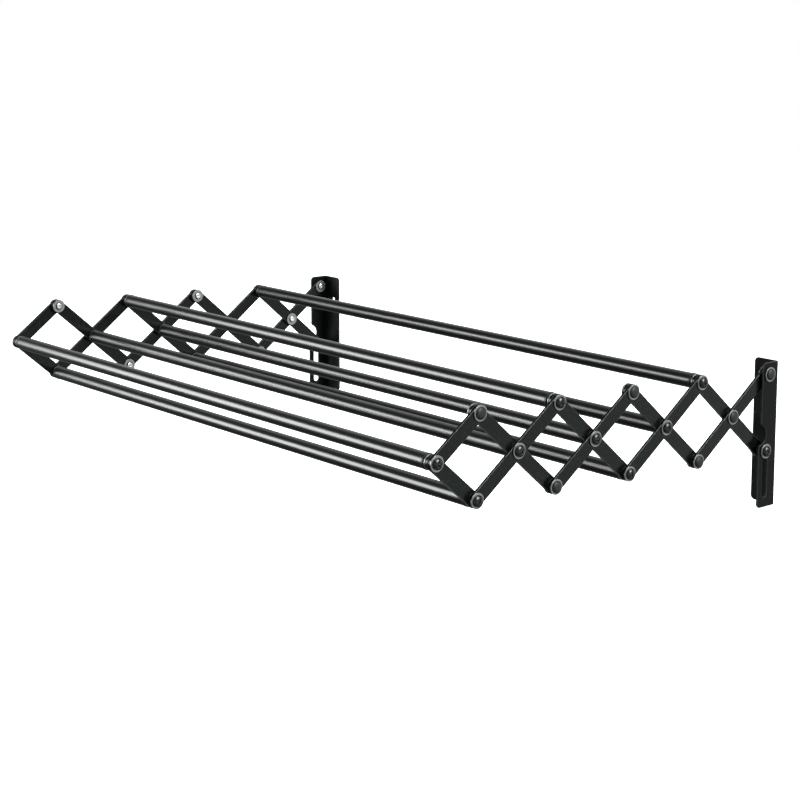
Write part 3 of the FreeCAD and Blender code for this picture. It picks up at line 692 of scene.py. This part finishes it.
rivet_black = Finish.coat("rivet_black", Specular_IOR_Level=0.34, IOR=1.5)
rivet_place = rivet_black.node("ShaderNodeTexCoord", out="Object")
rivet_grain = rivet_black.noise(rivet_place, 1700, 3, 0.6)
rivet_cloud = rivet_black.noise(rivet_place, 210, 3, 0.5)
rivet_body = rivet_black.blended(rivet_cloud, (0.0045, 0.0052, 0.0054), (0.0100, 0.0110, 0.0114))
rivet_black.onto("Base Color", rivet_body)
rivet_black.onto("Roughness", 0.34 + 0.12 * rivet_cloud + 0.05 * rivet_grain)
rivet_black.onto("Normal", rivet_black.bumped(rivet_grain, 0.000025))
tail_zinc = zinc_plate("tail_zinc", pale=(0.82, 0.83, 0.83), deep=(0.62, 0.625, 0.63),
                       cut=(0.30, 0.305, 0.305), rough=0.20)


def crowned(seat, rise, radius, wall, power, steps=9):
    """Top of a domed head from its crown to its rim: height = seat + wall + (rise - wall) (1 - s^power)^(1/2)
    at s = r / radius, with s = sin of an even angle so that the steps close up round the rim."""
    s = np.sin(np.linspace(0, math.pi / 2, steps))
    height = seat + wall + (rise - wall) * np.sqrt(1 - s ** power)
    slope = np.gradient(np.stack([height, s * radius], 1), axis=0)
    normals = np.stack([slope[:, 1], -slope[:, 0]], 1)
    normals[0], normals[-1] = (1, 0), (0, 1)
    return np.stack([height, s * radius], 1), normals / np.linalg.norm(normals, axis=1)[:, None]


for name in ("wall", "cross_1", "low_1", "top_2", "low_3", "top_4"):
    node = f"rivets_{name}"
    seat = (web_out if name == "wall" else outer_bar_out) + play + washer_thick
    tail_seat = (outer_bar_in if name == "wall" else inner_bar_in) - play - washer_thick
    tail = tail_seat - tail_rise
    head, head_normals = crowned(seat, dome_rise, dome_radius, dome_wall, dome_power)
    stem, stem_normals = softened([
        (seat + dome_wall, dome_radius, 0), (seat, dome_radius, 0.15 * mm), (seat, shank_radius, 0.1 * mm),
        (tail_seat, shank_radius, 0.1 * mm), (tail_seat, tail_radius, 0.15 * mm),
        (tail_seat - tail_shoulder, tail_radius, 0.35 * mm), (tail, tail_crown, 2.6 * mm),
        (tail, tail_dimple, 0.3 * mm), (tail + 0.5 * mm, 0.5 * mm, 0.2 * mm), (tail + 0.5 * mm, 0, 0)],
        False, corner_steps)
    profile = np.concatenate([head, stem[1:]]), np.concatenate([head_normals, stem_normals[1:]])
    bare = len(head) + black_corners * (corner_steps + 1)
    shells = [lathe(profile, pivot[name], side, paint_at=(bare,)) for side in (1, -1)]
    rivets = build_piece(f"pinned_{node}", shells, [rivet_black, tail_zinc])
    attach(rivets, body_with[node])
    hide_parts(node)


# ---- Cross rods
# Eight steel tubes, 16 mm across with a 1 mm wall, stoved with a smooth glossy black enamel. The laundry
# hangs over them; each stops against the rims of its two end plugs.

rod_radius, rod_bore = 8.0 * mm, 7.0 * mm
rods_at = ("top_1", "cross_2", "low_2", "top_3", "cross_3", "cross_4", "low_4", "tip")

rod_enamel = Finish.coat("rod_enamel", Specular_IOR_Level=0.5, IOR=1.5)
rod_place = rod_enamel.node("ShaderNodeTexCoord", out="Object")
rod_streak = rod_enamel.noise(rod_enamel.stretched(rod_place, (14, 520, 520)), 1.0, 3, 0.55)
rod_peel = rod_enamel.noise(rod_enamel.stretched(rod_place, (420, 700, 700)), 1.0, 2, 0.5)
rod_dust = rod_enamel.node("ShaderNodeValToRGB", {"stops": [(0.70, (0, 0, 0)), (0.78, (1, 1, 1))]},
                           rod_enamel.noise(rod_place, 900, 2, 0.5))
rod_body = rod_enamel.blended(rod_streak, (0.0026, 0.0031, 0.0030), (0.0040, 0.0046, 0.0045))
rod_enamel.onto("Base Color", rod_enamel.blended(rod_dust * 0.15, rod_body, (0.04, 0.043, 0.043)))
rod_enamel.onto("Roughness", 0.28 + 0.02 * rod_streak + 0.015 * rod_peel)
rod_enamel.onto("Normal", rod_enamel.bumped(rod_peel, 0.000002, rod_enamel.bumped(rod_streak, 0.0000015)))

for name in rods_at:
    node = f"rod_{name}"
    low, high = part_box(node)
    profile = ring_profile(high.x, low.x, rod_radius, rod_bore, 0.2 * mm, 0.2 * mm)
    shell = lathe(profile, pivot[name], 1, closed=True, around=96)
    rod = build_piece(f"tube_{node}", [shell], [rod_enamel])
    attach(rod, body_with[node])
    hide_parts(node)


# ---- Rod end plugs
# Moulded black plastic: a rounded rim that caps the tube, a narrower neck that stands off the washer and
# a ribless spigot pressed into the tube for the screw to bite in.

rim_radius, rim_length, neck_radius, neck_length = 8.3 * mm, 3.0 * mm, 6.0 * mm, 1.2 * mm
spigot_radius, spigot_length = 6.95 * mm, 14.0 * mm

plug_plastic = Finish.coat("plug_plastic", Specular_IOR_Level=0.30, IOR=1.49)
plug_place = plug_plastic.node("ShaderNodeTexCoord", out="Object")
plug_grain = plug_plastic.noise(plug_place, 2400, 2, 0.5)
plug_flow = plug_plastic.noise(plug_plastic.stretched(plug_place, (600, 120, 120)), 1.0, 3, 0.6)
plug_body = plug_plastic.blended(plug_flow, (0.0050, 0.0055, 0.0056), (0.0090, 0.0097, 0.0098))
plug_plastic.onto("Base Color", plug_body)
plug_plastic.onto("Roughness", 0.32 + 0.06 * plug_grain + 0.06 * plug_flow)
plug_plastic.onto("Normal", plug_plastic.bumped(plug_grain, 0.00002))

plug_out = inner_bar_in - play - washer_thick
rods_with = {"outer_bars_2": ("top_1", "cross_2"), "outer_bars_3": ("cross_3",), "inner_bars_3": ("low_2",),
             "outer_bars_4": ("top_3", "cross_4"), "inner_bars_5": ("low_4", "tip")}
for carrier, carried in rods_with.items():
    node = f"rod_plugs_{carrier}"
    rim_out, rod_end = plug_out - neck_length, plug_out - neck_length - rim_length
    profile = softened([
        (plug_out, pin_hole, 0.2 * mm), (plug_out, neck_radius, 0.3 * mm), (rim_out, neck_radius, 0.3 * mm),
        (rim_out, rim_radius, 1.1 * mm), (rod_end, rim_radius, 0.45 * mm), (rod_end, spigot_radius, 0.1 * mm),
        (rod_end - spigot_length, spigot_radius, 0.6 * mm), (rod_end - spigot_length, pin_hole, 0.2 * mm)], True, 6)
    shells = [lathe(profile, pivot[name], side, closed=True, around=64) for name in carried for side in (1, -1)]
    plugs = build_piece(f"capped_{node}", shells, [plug_plastic])
    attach(plugs, body_with[node])
    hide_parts(node)


# ---- Rod screws and slot screws
# Black zinc pan-head screws with a cross recess. At each rod end one passes both bars and bites into the
# plug; at the slot one runs through the bracket web, bush and inner bar into a nut.

head_radius, head_rise, head_wall, head_power = 6.0 * mm, 3.4 * mm, 0.9 * mm, 2.4
recess_arm, recess_reach, recess_depth, recess_lip = 0.72 * mm, 3.2 * mm, 1.8 * mm, 0.12 * mm
head_round = 4.1 * mm
screw_bite = 14.0 * mm

screw_black = Finish.coat("screw_black", Specular_IOR_Level=0.50, IOR=1.5)
screw_place = screw_black.node("ShaderNodeTexCoord", out="Object")
screw_grain = screw_black.noise(screw_place, 1500, 3, 0.6)
screw_cloud = screw_black.noise(screw_place, 240, 3, 0.5)
screw_body = screw_black.blended(screw_cloud, (0.0040, 0.0046, 0.0047), (0.0085, 0.0093, 0.0096))
screw_black.onto("Base Color", screw_body)
screw_black.onto("Roughness", 0.12 + 0.08 * screw_cloud + 0.04 * screw_grain)
screw_black.onto("Normal", screw_black.bumped(screw_grain, 0.00002))


def pan_screw(seat, end, spot, side, turn):
    """A cross-recessed screw as rings about its axis, each ring a radius and a height at every angle a.
    The recess outline is reach / cos a on the tip of an arm and arm / sin a along its flank, whichever is nearer;
    the head above it is seat + wall + (rise - wall) (1 - s^2.4)^(1/2) at s = r / radius, and the rings between the
    outline and the rim share out the way evenly."""
    quarter = np.array([-11.5, -5.7, 0, 5.7, 11.5, 17, 23, 30, 37.5, 45, 52.5, 60, 67, 73])
    angle = np.radians(np.concatenate([quarter + 90 * k for k in range(4)]))
    tip = math.atan2(recess_arm, recess_reach)
    from_arm = np.abs((angle + math.pi / 4) % (math.pi / 2) - math.pi / 4)
    from_arm = np.where(np.abs(from_arm - math.radians(11.5)) < 0.002, tip, from_arm)
    flank = recess_arm / np.sin(np.maximum(from_arm, tip))
    cross = np.where(from_arm <= tip + 1e-6, recess_reach / np.cos(from_arm), flank)

    def height(radius):
        share = np.clip(radius / head_radius, 0, 1)
        return seat + head_wall + (head_rise - head_wall) * np.sqrt(1 - share ** head_power)

    floor = seat + head_rise - recess_depth
    rings = [(cross * 0.02, floor - 0.1 * mm + cross * 0), (cross * 0.66, floor + 0.25 * mm + cross * 0),
             (cross * 0.93, height(cross) - 0.35 * mm), (cross, height(cross) - 0.10 * mm),
             (cross + recess_lip, height(cross + recess_lip))]
    for share in (0.35, 0.7, 1.0):
        radius = cross + recess_lip + (head_round - cross - recess_lip) * share
        rings.append((radius, height(radius)))
    for radius in (4.6, 5.0, 5.35, 5.62, 5.82, 5.94, 6.0):
        rings.append((radius * mm + cross * 0, height(radius * mm) + cross * 0))
    under_head = ((6.0, seat + 0.25 * mm), (5.93, seat + 0.07 * mm), (5.75, seat), (3.1, seat))
    shank = ((2.95, seat - 0.15 * mm), (2.95, end + 0.6 * mm), (2.4, end), (0.05, end))
    for radius, level in under_head + shank:
        rings.append((radius * mm + cross * 0, level + cross * 0))
    radius, level = (np.stack(column) for column in zip(*rings))
    ray = np.stack([np.cos(angle + turn), np.sin(angle + turn)], 1)
    around, count = len(angle), len(rings)
    points = np.concatenate([(side * level)[:, :, None], spot + radius[:, :, None] * ray[None]], 2)
    grid = np.arange(count * around).reshape(count, around)
    onward = np.roll(grid, -1, 1)
    quads = np.stack([grid[:-1], onward[:-1], onward[1:], grid[1:]], 2).reshape(-1, 4)
    tops = np.array([[side * float(level[0, 0]), *spot], [side * float(level[-1, 0]), *spot]])
    pole, foot = count * around, count * around + 1
    cap = np.stack([np.full(around, pole), onward[0], grid[0]], 1)
    base = np.stack([grid[-1], onward[-1], np.full(around, foot)], 1)
    flat = np.concatenate([points.reshape(-1, 3), tops])
    reach = np.concatenate([radius.ravel(), [0, 0]])
    return SimpleNamespace(points=flat, normals=flat * 0, reach=reach, faces=[quads, cap, base])


screw_turns = iter(np.random.default_rng(11).uniform(0, math.pi / 2, 40))
for carrier, carried in rods_with.items():
    node = f"rod_screws_{carrier}"
    shells = [pan_screw(outer_bar_out + play + washer_thick, plug_out - screw_bite, pivot[name], side,
                        next(screw_turns)) for name in carried for side in (1, -1)]
    screws = build_piece(f"pan_{node}", shells, [screw_black], exact=False)
    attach(screws, body_with[node])
    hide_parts(node)

nut_low, nut_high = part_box("slot_nuts")
nut_thick = 4.0 * mm
shells = [pan_screw(web_out + play + washer_thick, plug_out - nut_thick, pivot["slot"], side, next(screw_turns))
          for side in (1, -1)]
slot_screws = build_piece("pan_slot_screws", shells, [screw_black], exact=False)
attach(slot_screws, body_with["slot_screws"])
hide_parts("slot_screws")


# ---- Slot bushes and nuts
# A black plastic bush keeps the inner bar at its distance from the web and slides in the slot's line; a
# black hexagon nut with chamfered corners closes the screw on the inside.

bush_radius = 5.5 * mm
nut_flat, nut_face, nut_lead, nut_chamfer = 5.0 * mm, 0.985, 3.6 * mm, 30
nut_steps = 72

bush_plastic = Finish.coat("bush_plastic", Specular_IOR_Level=0.45, IOR=1.49)
bush_place = bush_plastic.node("ShaderNodeTexCoord", out="Object")
bush_grain = bush_plastic.noise(bush_place, 1900, 2, 0.5)
bush_body = bush_plastic.blended(bush_grain, (0.0055, 0.0060, 0.0061), (0.0100, 0.0107, 0.0109))
bush_plastic.onto("Base Color", bush_body)
bush_plastic.onto("Roughness", 0.38 + 0.14 * bush_grain)
bush_plastic.onto("Normal", bush_plastic.bumped(bush_grain, 0.00002))

bush_out = web_out - sheet_half * 2 - play
profile = ring_profile(bush_out, inner_bar_out, bush_radius, pin_hole, 0.15 * mm, 0.4 * mm)
bushes = build_piece("plain_slot_bushes", [lathe(profile, pivot["slot"], side, closed=True) for side in (1, -1)],
                     [bush_plastic])
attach(bushes, body_with["slot_bushes"])
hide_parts("slot_bushes")

nut_steel = Finish.coat("nut_steel", Metallic=0.8, Specular_IOR_Level=0.5)
nut_place = nut_steel.node("ShaderNodeTexCoord", out="Object")
nut_grain = nut_steel.noise(nut_place, 1400, 3, 0.6)
nut_bloom = nut_steel.noise(nut_place, 260, 3, 0.5)
nut_steel.onto("Base Color", nut_steel.blended(nut_bloom, (0.05, 0.052, 0.054), (0.10, 0.103, 0.106)))
nut_steel.onto("Roughness", 0.28 + 0.12 * nut_bloom + 0.06 * nut_grain)
nut_steel.onto("Normal", nut_steel.bumped(nut_grain, 0.00002))


def hexagon_nut(outside, inside, spot, side, first):
    """A nut as rings about its axis: the hexagon's radius at angle a is flat / cos of the angle from the nearest
    flat, and past the flat's own radius each face falls away at 30 degrees, which chamfers the corners."""
    angle = first + np.linspace(0, 2 * math.pi, nut_steps, endpoint=False)
    from_flat = (angle - first) % (math.pi / 3) - math.pi / 6
    hexagon = nut_flat / np.cos(from_flat)
    face = nut_flat * nut_face
    fall = (hexagon - face) * math.tan(math.radians(nut_chamfer))
    even = np.zeros_like(angle)
    rings = [(pin_hole + even, outside - 0.5 * mm + even), (nut_lead + even, outside + even),
             (face + even, outside + even), (hexagon, outside - fall), (hexagon, inside + fall),
             (face + even, inside + even), (nut_lead + even, inside + even),
             (pin_hole + even, inside + 0.5 * mm + even)]
    radius, level = (np.stack(column) for column in zip(*rings))
    ray = np.stack([np.cos(angle), np.sin(angle)], 1)
    points = np.concatenate([(side * level)[:, :, None], spot + radius[:, :, None] * ray[None]], 2).reshape(-1, 3)
    grid = np.arange(len(rings) * nut_steps).reshape(len(rings), nut_steps)
    below = np.roll(grid, -1, 0)
    quads = np.stack([grid, np.roll(grid, -1, 1), np.roll(below, -1, 1), below], 2).reshape(-1, 4)
    return SimpleNamespace(points=points, normals=points * 0, reach=radius.ravel(), faces=[quads])


corner_along_y = nut_high.y - nut_low.y > nut_high.z - nut_low.z
first_corner = 0.0 if corner_along_y else math.pi / 2
shells = [hexagon_nut(plug_out, plug_out - nut_thick, pivot["slot"], side, first_corner) for side in (1, -1)]
nuts = build_piece("hexagon_slot_nuts", shells, [nut_steel], exact=False)
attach(nuts, body_with["slot_nuts"])
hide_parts("slot_nuts")
